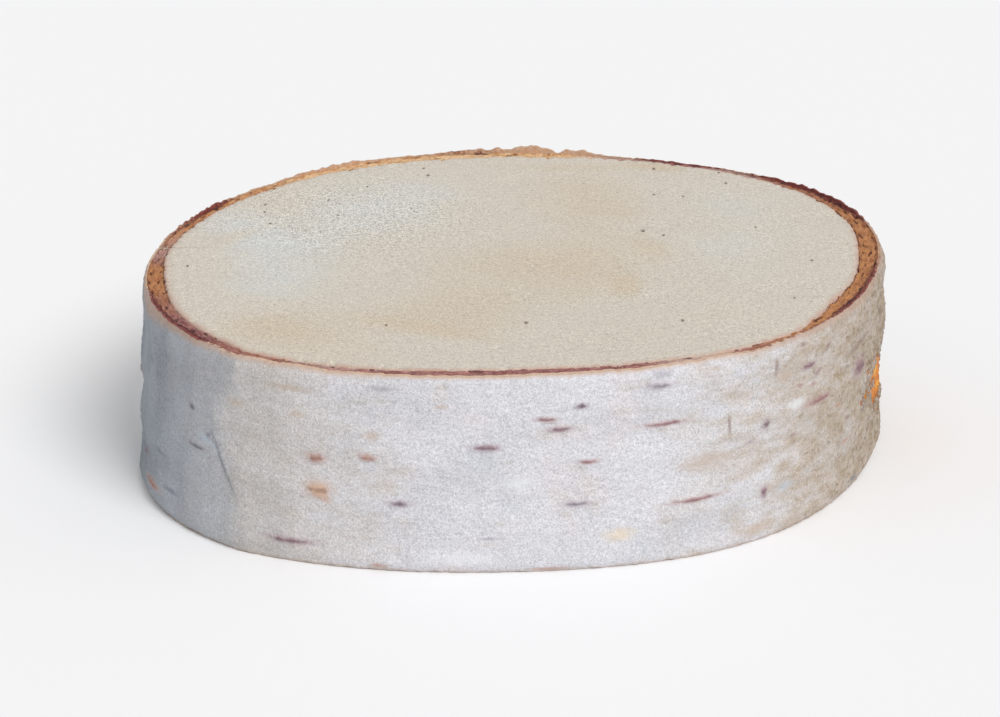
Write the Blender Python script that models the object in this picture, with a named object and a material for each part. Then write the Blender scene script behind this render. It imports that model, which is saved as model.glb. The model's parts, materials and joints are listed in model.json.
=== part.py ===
"""A birch wood slice: a short round cut from a birch stem, sawn flat on both faces, with its bark on.

The slice grew as one piece, so it is one solid. From the pith outwards it is pale wood, a ring of brown
inner bark that has dried a little lower than the saw cut, and a thin white outer bark. The outer bark
carries the lenticels, which are short corky ridges that lie across the stem, and a few round scars.
A drying split opens the bark at one side and runs a little way into the wood.

The frame is +Z up. The origin is on the lower sawn face, under the middle of the slice. Metres.
"""

import math
import random

import bmesh
import bpy
from mathutils import Matrix, Vector

MM = 0.001

# Size of the whole slice, in millimetres
MEAN_RADIUS = 55.0
THICKNESS = 29.5

# Out of round, as waves: number of lobes, height in millimetres, direction of one lobe in degrees.
# The lower face is a little wider, and adds waves of its own, which fade out towards the upper face.
OUTLINE_WAVES = (
    (2, 2.50, 25.8),
    (3, 0.65, -5.9),
    (4, 0.90, 32.8),
    (5, 0.47, 25.2),
)
FOOT_FLARE = 0.65
FOOT_WAVES = (
    (2, 0.18, -10.4),
    (3, 0.29, -32.3),
    (4, 0.16, 43.6),
    (5, 0.28, -6.9),
)

# Bark, in millimetres: its usual thickness on the cut face, and the white outer layer's share of that
BARK_THICKNESS = 2.6
OUTER_BARK = 0.8
OUTER_BARK_SETBACK = 0.12
GROOVE_DEPTH = 0.3
GROOVE_BANK = 0.35
GROOVE_UNEVENNESS = ((1, 0.1, -90.0), (13, 0.04, 7.0))
EDGE_ROUND = 0.4
EDGE_ROUND_HEIGHT = 2.0

# Thickness of the bark round the slice: direction in degrees, thickness in millimetres
BARK_THICKNESS_AT = (
    (-165.0, 2.9),
    (-150.0, 2.6),
    (-126.0, 2.0),
    (-92.0, 2.8),
    (-70.0, 2.3),
    (-52.0, 1.4),
    (-40.0, 1.1),
    (-33.0, 2.1),
    (-25.0, 3.1),
    (-14.0, 2.8),
    (2.0, 3.4),
    (26.0, 2.7),
    (36.0, 2.0),
    (48.0, 1.5),
    (60.0, 1.1),
    (72.0, 1.6),
    (84.0, 2.9),
    (105.0, 3.6),
    (120.0, 2.8),
    (132.0, 2.1),
    (150.0, 1.8),
    (163.0, 1.7),
    (176.0, 1.9),
)

# Torn bark that stands above the upper cut where the saw left the wood: direction, spread, height
TORN_LIPS = (
    (30.0, 14.0, 0.3),
    (86.0, 11.0, 0.8),
    (126.0, 8.0, 0.45),
    (160.0, 13.0, 0.4),
)

# Bark that stands out from the stem: direction and spread in degrees, then depth below the upper face,
# spread along the stem and height in millimetres
BARK_BULGES = (
    (-24.0, 13.0, 0.0, 6.0, 0.35),
    (-14.0, 22.0, 8.0, 9.0, 0.5),
    (196.0, 20.0, 12.0, 10.0, 0.2),
    (211.0, 20.0, 28.0, 9.0, 1.1),
    (213.0, 12.0, 0.0, 5.0, 0.3),
)

# The upright fold in the bark: direction, how far it stands out and how wide it is, then the sideways
# bend in its line: by how much, at which depth and over what reach
FOLD_DIRECTION = -131.3
FOLD_HEIGHT = 0.8
FOLD_SPREAD = 7.0
FOLD_TIP = 1.2
FOLD_BEND = -3.6
FOLD_BEND_DEPTH = 10.7
FOLD_BEND_REACH = 5.0

# Shallow hollows and swellings that lie across the stem, in millimetres
RIPPLE_HEIGHT = 0.16
RIPPLE_LENGTH = 9.0
RIPPLE_DRIFT = ((2, 2.1, 25.0), (5, 1.3, 18.0))

# Lenticels and scars on the side that was measured: direction in degrees, depth below the upper
# face, length across the stem and breadth along it in millimetres
MEASURED_MARKS = (
    (-80.1, 4.6, 1.9, 0.9),
    (-85.5, 6.3, 3.2, 0.8),
    (-83.4, 7.9, 3.8, 0.9),
    (-94.4, 10.4, 4.0, 1.0),
    (-79.0, 12.9, 3.2, 0.7),
    (-67.1, 8.5, 6.8, 0.8),
    (-49.5, 11.4, 1.6, 1.4),
    (-119.2, 13.1, 2.8, 1.6),
    (-111.7, 12.2, 2.4, 1.2),
    (-118.8, 17.8, 3.6, 2.4),
    (-107.0, 18.9, 3.0, 1.0),
    (-80.8, 19.3, 4.0, 0.9),
    (-61.8, 20.4, 8.0, 0.8),
    (-122.9, 26.0, 6.8, 1.0),
    (-68.0, 2.6, 4.2, 1.2),
    (-49.3, 22.0, 1.4, 2.0),
    (-140.6, 10.2, 1.8, 1.2),
    (-139.7, 15.9, 4.4, 0.8),
    (-37.2, 11.0, 6.8, 1.1),
    (-22.6, 10.6, 5.0, 2.6),
    (-39.6, 5.2, 3.4, 1.1),
)

# Lenticels on the rest of the bark follow the same sizes, spread by a seeded draw
DRAWN_MARKS = 22
DRAWN_FROM = -15.0
DRAWN_TO = 212.0
DRAWN_LENGTHS = (2.4, 7.5)
DRAWN_BREADTHS = (0.8, 1.1)
DRAWN_FROM_EDGE = 2.5
CLEAR_OF_SPLIT = 6.0
MARK_CLEARANCE = 2.2
MARK_RISE = 0.32
MARK_SUNK = 0.6
MARK_SEGMENTS = 8
MARK_RINGS = 4
SEED = 11

# The drying split: its direction, its mouth in the bark, and how far and how deep it runs into the wood
SPLIT_DIRECTION = 177.4
SPLIT_MOUTH = 2.1
SPLIT_NECK = 0.4
SPLIT_TIP = 0.12
SPLIT_REACH = 7.0
SPLIT_DEPTH = 11.0
SPLIT_TIP_DEPTH = 3.5
SPLIT_FOOT_SHARE = 0.2
SPLIT_OVERRUN = 3.0

# Fineness of the mesh, and the angle in degrees from which an edge shows as a crease
SEGMENTS = 168
SIDE_ROWS = 12
HALF_WAY_RING = 26.0
SHARP_ANGLE = 40.0

BARK_WHITE = ("outer_bark_white", (0.70, 0.69, 0.71), 0.62)
BARK_BROWN = ("inner_bark_brown", (0.30, 0.12, 0.05), 0.85)
WOOD_PALE = ("sawn_wood_pale", (0.66, 0.60, 0.50), 0.72)
CORK_DARK = ("lenticel_cork", (0.20, 0.11, 0.10), 0.88)
FINISHES = (BARK_WHITE, BARK_BROWN, WOOD_PALE, CORK_DARK)
WHITE_SLOT, BROWN_SLOT, WOOD_SLOT, CORK_SLOT = range(4)


def turn_between(angle, direction):
    """The signed difference between two angles in degrees, from -180 to 180."""
    return (angle - direction + 180.0) % 360.0 - 180.0


def waves(lobed, angle):
    """The sum of a list of waves round the slice, at an angle in degrees."""
    return sum(height * math.cos(math.radians(lobes * (angle - aim))) for lobes, height, aim in lobed)


def bump(angle, direction, spread):
    """A smooth rise to 1 at the direction, falling away over the spread, in degrees."""
    return math.exp(-((turn_between(angle, direction) / spread) ** 2))


def fold_rise(angle, depth):
    """The upright fold: a narrow ridge with a soft tip, whose line bends sideways at one depth."""
    bend = FOLD_BEND * math.exp(-(((depth - FOLD_BEND_DEPTH) / FOLD_BEND_REACH) ** 2))
    away = math.hypot(turn_between(angle, FOLD_DIRECTION + bend), FOLD_TIP) - FOLD_TIP
    return FOLD_HEIGHT * math.exp(-away / FOLD_SPREAD)


def ripple(angle, depth):
    """Shallow rolls that lie across the stem and drift up and down as they go round."""
    return RIPPLE_HEIGHT * math.sin(2.0 * math.pi * (depth + waves(RIPPLE_DRIFT, angle)) / RIPPLE_LENGTH)


def outline_radius(angle, depth):
    """Distance from the axis to the outside of the bark, at a direction and a depth below the upper face."""
    radius = MEAN_RADIUS + waves(OUTLINE_WAVES, angle)
    radius += depth / THICKNESS * (FOOT_FLARE + waves(FOOT_WAVES, angle))
    for direction, spread, level, reach, height in BARK_BULGES:
        radius += height * bump(angle, direction, spread) * math.exp(-(((depth - level) / reach) ** 2))
    return radius + fold_rise(angle, depth)


def bark_thickness(angle):
    """Total width of the bark ring on the cut faces, eased from one stated direction to the next."""
    following = BARK_THICKNESS_AT[1:] + BARK_THICKNESS_AT[:1]
    for (start, from_here), (end, to_there) in zip(BARK_THICKNESS_AT, following):
        sweep = (end - start) % 360.0
        along = (angle - start) % 360.0
        if along < sweep:
            ease = 0.5 - 0.5 * math.cos(math.pi * along / sweep)
            return from_here + (to_there - from_here) * ease
    return BARK_THICKNESS


def side_radius(angle, depth):
    """The bark's surface on the side: the outline with its ripples, rounded in at the two sawn edges."""
    from_edge = min(depth, THICKNESS - depth)
    inward = EDGE_ROUND * max(0.0, 1.0 - from_edge / EDGE_ROUND_HEIGHT) ** 2
    settled = min(1.0, from_edge / EDGE_ROUND_HEIGHT)
    return outline_radius(angle, depth) + settled * ripple(angle, depth) - inward


def lip_height(angle):
    """How far the torn outer bark stands above the upper saw cut."""
    return sum(height * bump(angle, direction, spread) for direction, spread, height in TORN_LIPS)


def inset_steps():
    """Widths of the rings on a cut face of the straight blank, from the edge inwards."""
    floor = BARK_THICKNESS - OUTER_BARK - 2.0 * GROOVE_BANK
    half_way = MEAN_RADIUS - BARK_THICKNESS - HALF_WAY_RING
    return (OUTER_BARK, GROOVE_BANK, floor, GROOVE_BANK, half_way)


def straight_blank():
    """A plain disc with rings inset on both faces and rows cut round its side."""
    blank = bmesh.new()
    bmesh.ops.create_cone(
        blank,
        cap_ends=True,
        segments=SEGMENTS,
        radius1=MEAN_RADIUS,
        radius2=MEAN_RADIUS,
        depth=THICKNESS,
        matrix=Matrix.Translation((0.0, 0.0, THICKNESS / 2.0)),
    )
    upright = [edge for edge in blank.edges if abs(edge.verts[0].co.z - edge.verts[1].co.z) > 1.0]
    caps = [face for face in blank.faces if len(face.verts) > 4]
    bmesh.ops.subdivide_edges(blank, edges=upright, cuts=SIDE_ROWS - 1, use_grid_fill=True)
    for cap in caps:
        for width in inset_steps():
            bmesh.ops.inset_region(blank, faces=[cap], thickness=width, use_even_offset=True)
    bmesh.ops.poke(blank, faces=caps)
    return blank


def face_relief(angle, inset):
    """Height of the bark ring against the saw cut: level at the wood, low in the brown, less so outside."""
    if inset > BARK_THICKNESS - GROOVE_BANK / 2.0:
        return 0.0
    if inset > OUTER_BARK + GROOVE_BANK / 2.0:
        return waves(GROOVE_UNEVENNESS, angle) - GROOVE_DEPTH
    return -OUTER_BARK_SETBACK


def grown_point(point):
    """Where a point of the straight blank lies on the real slice, in millimetres."""
    angle = math.degrees(math.atan2(point.y, point.x))
    depth = THICKNESS - point.z
    inset = MEAN_RADIUS - math.hypot(point.x, point.y)
    edge = side_radius(angle, depth)
    bark = bark_thickness(angle)
    on_face = min(depth, THICKNESS - depth) < 1e-3
    height = point.z
    if not on_face:
        radius = edge
    elif inset <= BARK_THICKNESS + 1e-3:
        radius = edge - inset * bark / BARK_THICKNESS
        height += face_relief(angle, inset) * (1.0 if depth < THICKNESS / 2.0 else -1.0)
        if depth < THICKNESS / 2.0 and inset < OUTER_BARK + 1e-3:
            height += lip_height(angle)
    else:
        radius = (edge - bark) * (MEAN_RADIUS - inset) / (MEAN_RADIUS - BARK_THICKNESS)
    turn = math.radians(angle)
    return Vector((radius * math.cos(turn), radius * math.sin(turn), height))


def finish_of(face):
    """Material slot for a face of the straight blank, read from how far in from the edge it lies."""
    centre = face.calc_center_median()
    inset = MEAN_RADIUS - math.hypot(centre.x, centre.y)
    if abs(face.normal.z) < 0.5 or inset < OUTER_BARK:
        return WHITE_SLOT
    return BROWN_SLOT if inset < BARK_THICKNESS else WOOD_SLOT


def material(finish):
    name, colour, roughness = finish
    made = bpy.data.materials.new(name)
    made.use_nodes = True
    shader = made.node_tree.nodes["Principled BSDF"]
    shader.inputs["Base Color"].default_value = (*colour, 1.0)
    shader.inputs["Roughness"].default_value = roughness
    shader.inputs["Metallic"].default_value = 0.0
    made.diffuse_color = (*colour, 1.0)
    return made


def new_object(name, shape, collection, materials):
    """Turns a bmesh in millimetres into an object in metres, in a collection."""
    bmesh.ops.scale(shape, vec=(MM, MM, MM), verts=shape.verts)
    mesh = bpy.data.meshes.new(name)
    shape.to_mesh(mesh)
    shape.free()
    for one in materials:
        mesh.materials.append(one)
    made = bpy.data.objects.new(name, mesh)
    collection.objects.link(made)
    return made


def slice_body(collection, materials):
    """The stem section with its bark ring, grown out of the straight blank by formula."""
    blank = straight_blank()
    blank.normal_update()
    for face in blank.faces:
        face.material_index = finish_of(face)
    for vert in blank.verts:
        vert.co = grown_point(vert.co)
    return new_object("birch_slice", blank, collection, materials)


def too_close(mark, others):
    """Whether a mark would run into another, counting arc length across the stem and depth along it."""
    for other in others:
        across = abs(math.radians(turn_between(mark[0], other[0]))) * MEAN_RADIUS
        along = abs(mark[1] - other[1])
        room = (mark[2] + other[2]) / 2.0 + MARK_CLEARANCE
        if across < room and along < MARK_CLEARANCE:
            return True
    return False


def drawn_marks():
    """Lenticels for the bark that was not measured, drawn with a fixed seed and kept apart."""
    draw = random.Random(SEED)
    marks = []
    while len(marks) < DRAWN_MARKS:
        mark = (
            draw.uniform(DRAWN_FROM, DRAWN_TO),
            draw.uniform(DRAWN_FROM_EDGE, THICKNESS - DRAWN_FROM_EDGE),
            draw.uniform(*DRAWN_LENGTHS),
            draw.uniform(*DRAWN_BREADTHS),
        )
        near_split = abs(turn_between(mark[0], SPLIT_DIRECTION)) < CLEAR_OF_SPLIT
        if not near_split and not too_close(mark, [*MEASURED_MARKS, *marks]):
            marks.append(mark)
    return marks


def mark_body(index, mark, collection, materials):
    """A lenticel or scar: a low lens that follows the bark's curve, half of it sunk in the bark."""
    angle, depth, length, breadth = mark
    lens = bmesh.new()
    bmesh.ops.create_uvsphere(lens, u_segments=MARK_SEGMENTS, v_segments=MARK_RINGS, radius=1.0)
    for vert in lens.verts:
        across, proud, along = vert.co
        turn = math.radians(angle) + across * length / 2.0 / MEAN_RADIUS
        level = depth - along * breadth / 2.0
        seat = side_radius(math.degrees(turn), level)
        radius = seat + MARK_RISE * ((1.0 + MARK_SUNK) * proud - MARK_SUNK)
        vert.co = Vector((radius * math.cos(turn), radius * math.sin(turn), THICKNESS - level))
    bmesh.ops.recalc_face_normals(lens, faces=lens.faces)
    for face in lens.faces:
        face.material_index = CORK_SLOT
    return new_object(f"mark_{index}", lens, collection, materials)


def split_cutter(collection, materials):
    """The drying split as a blade: wide at the bark, a hairline in the wood, shallower towards its tip."""
    rim = side_radius(SPLIT_DIRECTION, 0.0)
    neck = rim - bark_thickness(SPLIT_DIRECTION)
    overrun_width = SPLIT_MOUTH + (SPLIT_MOUTH - SPLIT_NECK) * SPLIT_OVERRUN / (rim - neck)
    stations = (
        (rim + SPLIT_OVERRUN, overrun_width, SPLIT_DEPTH),
        (neck, SPLIT_NECK, SPLIT_DEPTH),
        (rim - SPLIT_REACH, SPLIT_TIP, SPLIT_TIP_DEPTH),
    )
    blade = bmesh.new()
    rings = []
    for radius, width, depth in stations:
        half = width / 2.0
        foot = half * SPLIT_FOOT_SHARE
        corners = ((-half, SPLIT_OVERRUN), (half, SPLIT_OVERRUN), (foot, -depth), (-foot, -depth))
        rings.append([blade.verts.new((radius, side, THICKNESS + rise)) for side, rise in corners])
    blade.faces.new(rings[0])
    blade.faces.new(rings[-1])
    for outer, inner in zip(rings, rings[1:]):
        for corner in range(4):
            after = (corner + 1) % 4
            blade.faces.new((outer[corner], outer[after], inner[after], inner[corner]))
    bmesh.ops.recalc_face_normals(blade, faces=blade.faces)
    bmesh.ops.rotate(blade, verts=blade.verts, matrix=Matrix.Rotation(math.radians(SPLIT_DIRECTION), 3, "Z"))
    cutter = new_object("split_cutter", blade, collection, materials)
    cutter.hide_render = True
    cutter.display_type = "WIRE"
    return cutter


def apply_modifiers(thing):
    """Bakes the object's modifiers into its mesh."""
    graph = bpy.context.evaluated_depsgraph_get()
    whole = bpy.data.meshes.new_from_object(thing.evaluated_get(graph))
    thing.modifiers.clear()
    thing.data = whole


def remove_all(collection):
    for thing in list(collection.objects):
        bpy.data.objects.remove(thing)
    bpy.data.collections.remove(collection)


def centre_on_axis(thing):
    """Moves the mesh so that the middle of its box is on the Z axis."""
    across = [vert.co.x for vert in thing.data.vertices]
    along = [vert.co.y for vert in thing.data.vertices]
    middle = Vector(((min(across) + max(across)) / 2.0, (min(along) + max(along)) / 2.0, 0.0))
    thing.data.transform(Matrix.Translation(-middle))


def main():
    for thing in list(bpy.data.objects):
        bpy.data.objects.remove(thing)
    model = bpy.data.collections.new("birch_wood_slice")
    marks = bpy.data.collections.new("bark_marks")
    cutters = bpy.data.collections.new("cutters")
    for collection in (model, marks, cutters):
        bpy.context.scene.collection.children.link(collection)
    materials = [material(finish) for finish in FINISHES]

    body = slice_body(model, materials)
    for index, mark in enumerate([*MEASURED_MARKS, *drawn_marks()]):
        mark_body(index, mark, marks, materials)
    joined = body.modifiers.new("grow_marks", "BOOLEAN")
    joined.operation = "UNION"
    joined.operand_type = "COLLECTION"
    joined.collection = marks
    joined.solver = "EXACT"
    apply_modifiers(body)
    remove_all(marks)

    opened = body.modifiers.new("open_split", "BOOLEAN")
    opened.operation = "DIFFERENCE"
    opened.object = split_cutter(cutters, materials)
    opened.solver = "EXACT"
    apply_modifiers(body)
    remove_all(cutters)

    centre_on_axis(body)
    body.data.shade_smooth()
    body.data.set_sharp_from_angle(angle=math.radians(SHARP_ANGLE))


main()
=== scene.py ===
"""A slice of birch stem, dressed round its solid: pale sawn wood, brown inner bark and white outer bark.

A point of the stem is given by its direction in degrees round the stem's axis, its depth in millimetres
below the upper saw cut and its radius in millimetres from the axis. Shapes are worked out in millimetres
and stored in metres.
"""

import json
import math
import random

import bpy
import numpy as np
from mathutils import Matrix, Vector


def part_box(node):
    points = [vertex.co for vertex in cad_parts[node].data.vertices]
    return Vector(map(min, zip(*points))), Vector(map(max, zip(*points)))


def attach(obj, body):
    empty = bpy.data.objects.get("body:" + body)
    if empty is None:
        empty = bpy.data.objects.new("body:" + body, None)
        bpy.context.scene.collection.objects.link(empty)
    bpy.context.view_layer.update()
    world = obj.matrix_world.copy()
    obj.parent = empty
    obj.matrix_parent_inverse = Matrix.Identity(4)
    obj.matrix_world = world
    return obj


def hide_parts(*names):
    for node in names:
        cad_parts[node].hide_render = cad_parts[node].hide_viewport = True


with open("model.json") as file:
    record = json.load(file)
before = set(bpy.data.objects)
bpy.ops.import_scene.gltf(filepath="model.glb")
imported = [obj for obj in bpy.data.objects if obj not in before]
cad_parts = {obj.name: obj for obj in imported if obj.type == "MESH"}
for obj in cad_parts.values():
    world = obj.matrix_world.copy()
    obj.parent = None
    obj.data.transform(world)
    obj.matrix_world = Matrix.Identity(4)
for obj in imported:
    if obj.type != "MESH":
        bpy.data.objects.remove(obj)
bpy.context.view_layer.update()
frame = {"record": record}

MM = 0.001

# The sawn wood. It is the stem's own wood, sawn across on both faces and sanded flat, with growth rings,
# fine pores and a drying split that enters from the bark. Its rim is a little chipped where the saw left it.
MEAN_RADIUS = 55.0
THICKNESS = next(m["pos_m"][2] for m in frame["record"]["mounts"] if m["name"] == "top_face") / MM

# Out of round, as waves: number of lobes, height in millimetres, direction of one lobe
OUTLINE_WAVES = ((2, 2.50, 25.8), (3, 0.65, -5.9), (4, 0.90, 32.8), (5, 0.47, 25.2))
FOOT_FLARE = 0.65
FOOT_WAVES = ((2, 0.18, -10.4), (3, 0.29, -32.3), (4, 0.16, 43.6), (5, 0.28, -6.9))

# Where the bark stands out from the stem: direction, spread, depth, reach along the stem, height
BARK_BULGES = (
    (-24.0, 13.0, 0.0, 6.0, 0.35), (-14.0, 22.0, 8.0, 9.0, 0.5), (196.0, 20.0, 12.0, 10.0, 0.2),
    (211.0, 20.0, 28.0, 9.0, 1.1), (213.0, 12.0, 0.0, 5.0, 0.3),
)
FOLD_DIRECTION, FOLD_HEIGHT, FOLD_SPREAD, FOLD_TIP = -131.3, 0.8, 7.0, 1.2
FOLD_BEND, FOLD_BEND_DEPTH, FOLD_BEND_REACH = -3.6, 10.7, 5.0
RIPPLE_HEIGHT, RIPPLE_LENGTH, RIPPLE_DRIFT = 0.16, 9.0, ((2, 2.1, 25.0), (5, 1.3, 18.0))
EDGE_ROUND, EDGE_ROUND_HEIGHT = 0.4, 2.0

# Width of the whole bark on the cut: direction, millimetres
BARK_WIDTHS = (
    (-165.0, 2.9), (-150.0, 2.6), (-126.0, 2.0), (-92.0, 2.8), (-70.0, 2.3), (-52.0, 1.4), (-40.0, 1.1),
    (-33.0, 2.1), (-25.0, 3.1), (-14.0, 2.8), (2.0, 3.4), (26.0, 2.7), (36.0, 2.0), (48.0, 1.5),
    (60.0, 1.1), (72.0, 1.6), (84.0, 2.9), (105.0, 3.6), (120.0, 2.8), (132.0, 2.1), (150.0, 1.8),
    (163.0, 1.7), (176.0, 1.9),
)


def turn_between(angle, direction):
    """The signed difference between two angles in degrees, from -180 to 180."""
    return (angle - direction + 180.0) % 360.0 - 180.0


def waves(lobed, angle):
    """The sum of a list of cosine waves round the stem."""
    return sum(height * np.cos(np.radians(lobes * (angle - aim))) for lobes, height, aim in lobed)


def hump(away, reach):
    """A smooth rise that is 1 where away is 0 and has mostly gone at the reach."""
    return np.exp(-((away / reach) ** 2))


def ease(value, start, end):
    """0 up to the start, 1 from the end on, and a smooth S between them."""
    share = np.clip((value - start) / (end - start), 0.0, 1.0)
    return share * share * (3.0 - 2.0 * share)


def eased_round(stations, angle):
    """A value stated at a few directions, eased with half a cosine wave from each direction to the next."""
    aims, values = np.array((*stations, (stations[0][0] + 360.0, stations[0][1]))).T
    along = (angle - aims[0]) % 360.0 + aims[0]
    step = np.clip(np.searchsorted(aims, along, side="right") - 1, 0, len(stations) - 1)
    share = 0.5 - 0.5 * np.cos(np.pi * (along - aims[step]) / (aims[step + 1] - aims[step]))
    return values[step] + (values[step + 1] - values[step]) * share


def fold_line(depth):
    """The direction of the upright fold's crest, which bends sideways at one depth."""
    return FOLD_DIRECTION + FOLD_BEND * hump(depth - FOLD_BEND_DEPTH, FOLD_BEND_REACH)


def outline_radius(angle, depth):
    """Mean radius plus waves, plus a flare that grows down the stem, plus the bulges and the fold's ridge."""
    radius = MEAN_RADIUS + waves(OUTLINE_WAVES, angle)
    radius = radius + depth / THICKNESS * (FOOT_FLARE + waves(FOOT_WAVES, angle))
    for direction, spread, level, reach, height in BARK_BULGES:
        radius = radius + height * hump(turn_between(angle, direction), spread) * hump(depth - level, reach)
    away = np.hypot(turn_between(angle, fold_line(depth)), FOLD_TIP) - FOLD_TIP
    return radius + FOLD_HEIGHT * np.exp(-away / FOLD_SPREAD)


def side_radius(angle, depth):
    """The outline with shallow rolls that lie across the stem, rounded in towards the two saw cuts."""
    from_edge = np.clip(np.minimum(depth, THICKNESS - depth), 0.0, None)
    inward = EDGE_ROUND * np.clip(1.0 - from_edge / EDGE_ROUND_HEIGHT, 0.0, None) ** 2
    roll = RIPPLE_HEIGHT * np.sin(2.0 * np.pi * (depth + waves(RIPPLE_DRIFT, angle)) / RIPPLE_LENGTH)
    return outline_radius(angle, depth) + np.clip(from_edge / EDGE_ROUND_HEIGHT, 0.0, 1.0) * roll - inward


def stem_axis():
    """Where the axis stands, so that the form's box has the same middle as the solid's box."""
    angle, depth = np.meshgrid(np.arange(0.0, 360.0, 0.5), np.linspace(0.0, THICKNESS, 60))
    radius, turn = side_radius(angle, depth), np.radians(angle)
    lowest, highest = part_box("birch_slice")
    middles = [(lowest[k] + highest[k]) / 2.0 / MM for k in (0, 1)]
    spans = radius * np.cos(turn), radius * np.sin(turn)
    return [middle - (span.min() + span.max()) / 2.0 for middle, span in zip(middles, spans)]


AXIS_X, AXIS_Y = stem_axis()


def stem_points(angle, depth, radius):
    """Out from the axis by the radius in the angle's direction, and down from the saw cut by the depth."""
    turn = np.radians(angle)
    across, along = AXIS_X + radius * np.cos(turn), AXIS_Y + radius * np.sin(turn)
    return np.stack(np.broadcast_arrays(across, along, THICKNESS - depth), axis=-1)


WAVES_IN_A_ROLL = 24


def rolling(points, length, seed, stretch=(1.0, 1.0, 1.0)):
    """Smooth random height with unit spread: plane waves of about one length, in random directions, added."""
    draw = np.random.default_rng(seed)
    aims = draw.normal(size=(WAVES_IN_A_ROLL, 3))
    aims /= np.linalg.norm(aims, axis=1, keepdims=True)
    reaches = length * draw.uniform(0.7, 1.4, WAVES_IN_A_ROLL)
    starts = draw.uniform(0.0, 2.0 * np.pi, WAVES_IN_A_ROLL)
    turns = (points * np.array(stretch)) @ (2.0 * np.pi * aims / reaches[:, None]).T + starts
    return np.cos(turns).sum(axis=-1) * math.sqrt(2.0 / WAVES_IN_A_ROLL)


def ring_quads(rows, columns, close_rows):
    """Four-sided faces between neighbours on a grid whose columns go all the way round the stem."""
    row, column = np.mgrid[0 : rows if close_rows else rows - 1, 0:columns]
    below, after = (row + 1) % rows, (column + 1) % columns
    corners = (row, column), (below, column), (below, after), (row, after)
    return np.stack([r * columns + c for r, c in corners], axis=-1).reshape(-1, 4)


def pole_fans(rows, columns):
    """Triangles from the first row to a point after the grid, and from the last row to the next point."""
    here = np.arange(columns)
    after = (here + 1) % columns
    pole, foot, last = rows * columns, rows * columns + 1, (rows - 1) * columns
    upper = np.stack([np.full(columns, pole), here, after], axis=-1)
    lower = np.stack([np.full(columns, foot), last + after, last + here], axis=-1)
    return np.concatenate([upper, lower])


def new_piece(name, points, faces, layers, materials):
    """A mesh object from points in millimetres, lists of faces, and named values kept on each point."""
    mesh = bpy.data.meshes.new(name)
    corners = [face for kind in faces for face in kind.tolist()]
    mesh.from_pydata((points.reshape(-1, 3) * MM).tolist(), [], corners)
    kinds = {3: ("FLOAT_VECTOR", "vector"), 4: ("FLOAT_COLOR", "color")}
    for title, values in layers.items():
        kind, field = kinds[values.shape[-1]]
        layer = mesh.attributes.new(title, kind, "POINT")
        layer.data.foreach_set(field, values.astype(np.float32).ravel())
    for material in materials:
        mesh.materials.append(material)
    mesh.shade_smooth()
    piece = bpy.data.objects.new(name, mesh)
    bpy.context.scene.collection.objects.link(piece)
    return piece


def colour(red, green, blue):
    """A colour as a screen shows it, from 0 to 255, turned into the linear light that a shader works in."""
    shown = np.array((red, green, blue)) / 255.0
    linear = np.where(shown <= 0.04045, shown / 12.92, ((shown + 0.055) / 1.055) ** 2.4)
    return (*(float(part) for part in linear), 1.0)


class Wire:
    """A value on its way through a material. Sums on it add Math nodes, and node() adds any other node."""

    def __init__(self, tree, socket=None):
        self.tree = tree
        self.socket = socket

    def node(self, kind, settings, sockets, output=0):
        """Adds a node, makes its own settings first, then gives its sockets numbers, colours or wires."""
        made = self.tree.nodes.new("ShaderNode" + kind)
        for name, value in settings.items():
            if name == "stops":
                ramp = made.color_ramp.elements
                while len(ramp) < len(value):
                    ramp.new(1.0)
                for element, (place, shade) in zip(ramp, value):
                    element.position, element.color = place, shade
            else:
                setattr(made, name, value)
        for name, value in sockets.items():
            if isinstance(value, Wire):
                self.tree.links.new(value.socket, made.inputs[name])
            else:
                made.inputs[name].default_value = value
        return Wire(self.tree, made.outputs[output])

    def sum(self, operation, *terms):
        return self.node("Math", {"operation": operation}, dict(enumerate(terms)))

    def __add__(self, other):
        return self.sum("ADD", self, other)

    def __sub__(self, other):
        return self.sum("SUBTRACT", self, other)

    def __rsub__(self, other):
        return self.sum("SUBTRACT", other, self)

    def __mul__(self, other):
        return self.sum("MULTIPLY", self, other)

    def __pow__(self, other):
        return self.sum("POWER", self, other)

    def larger(self, other):
        return self.sum("MAXIMUM", self, other)

    def sine(self):
        return self.sum("SINE", self)

    def unsigned(self):
        return self.sum("ABSOLUTE", self)

    __radd__ = __add__
    __rmul__ = __mul__


def new_material(name):
    """A material with a Principled shader only, the shader's node and a wire to start from."""
    material = bpy.data.materials.new(name)
    material.use_nodes = True
    tree = material.node_tree
    return material, tree.nodes["Principled BSDF"], Wire(tree)


def plug(shader, **sockets):
    """Gives the shader's sockets their wires or numbers."""
    for name, value in sockets.items():
        socket = shader.inputs[name.replace("_", " ").title()]
        if isinstance(value, Wire):
            value.tree.links.new(value.socket, socket)
        else:
            socket.default_value = value


def stored(start, layer, output=1):
    """A value kept on the mesh's points: output 0 is a colour and 1 a vector."""
    return start.node("Attribute", {"attribute_name": layer}, {}, output)


def parts(vector):
    """The three numbers of a vector."""
    return [vector.node("SeparateXYZ", {}, {0: vector}, part) for part in range(3)]


def place_in_mm(start, stretch=(1.0, 1.0, 1.0), shift=(0.0, 0.0, 0.0)):
    """The point on the object in millimetres, stretched and then shifted, so that noises differ."""
    point = start.node("TexCoord", {}, {}, 3)
    scale = tuple(part / MM for part in stretch)
    return point.node("VectorMath", {"operation": "MULTIPLY_ADD"}, {0: point, 1: scale, 2: shift})


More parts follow.
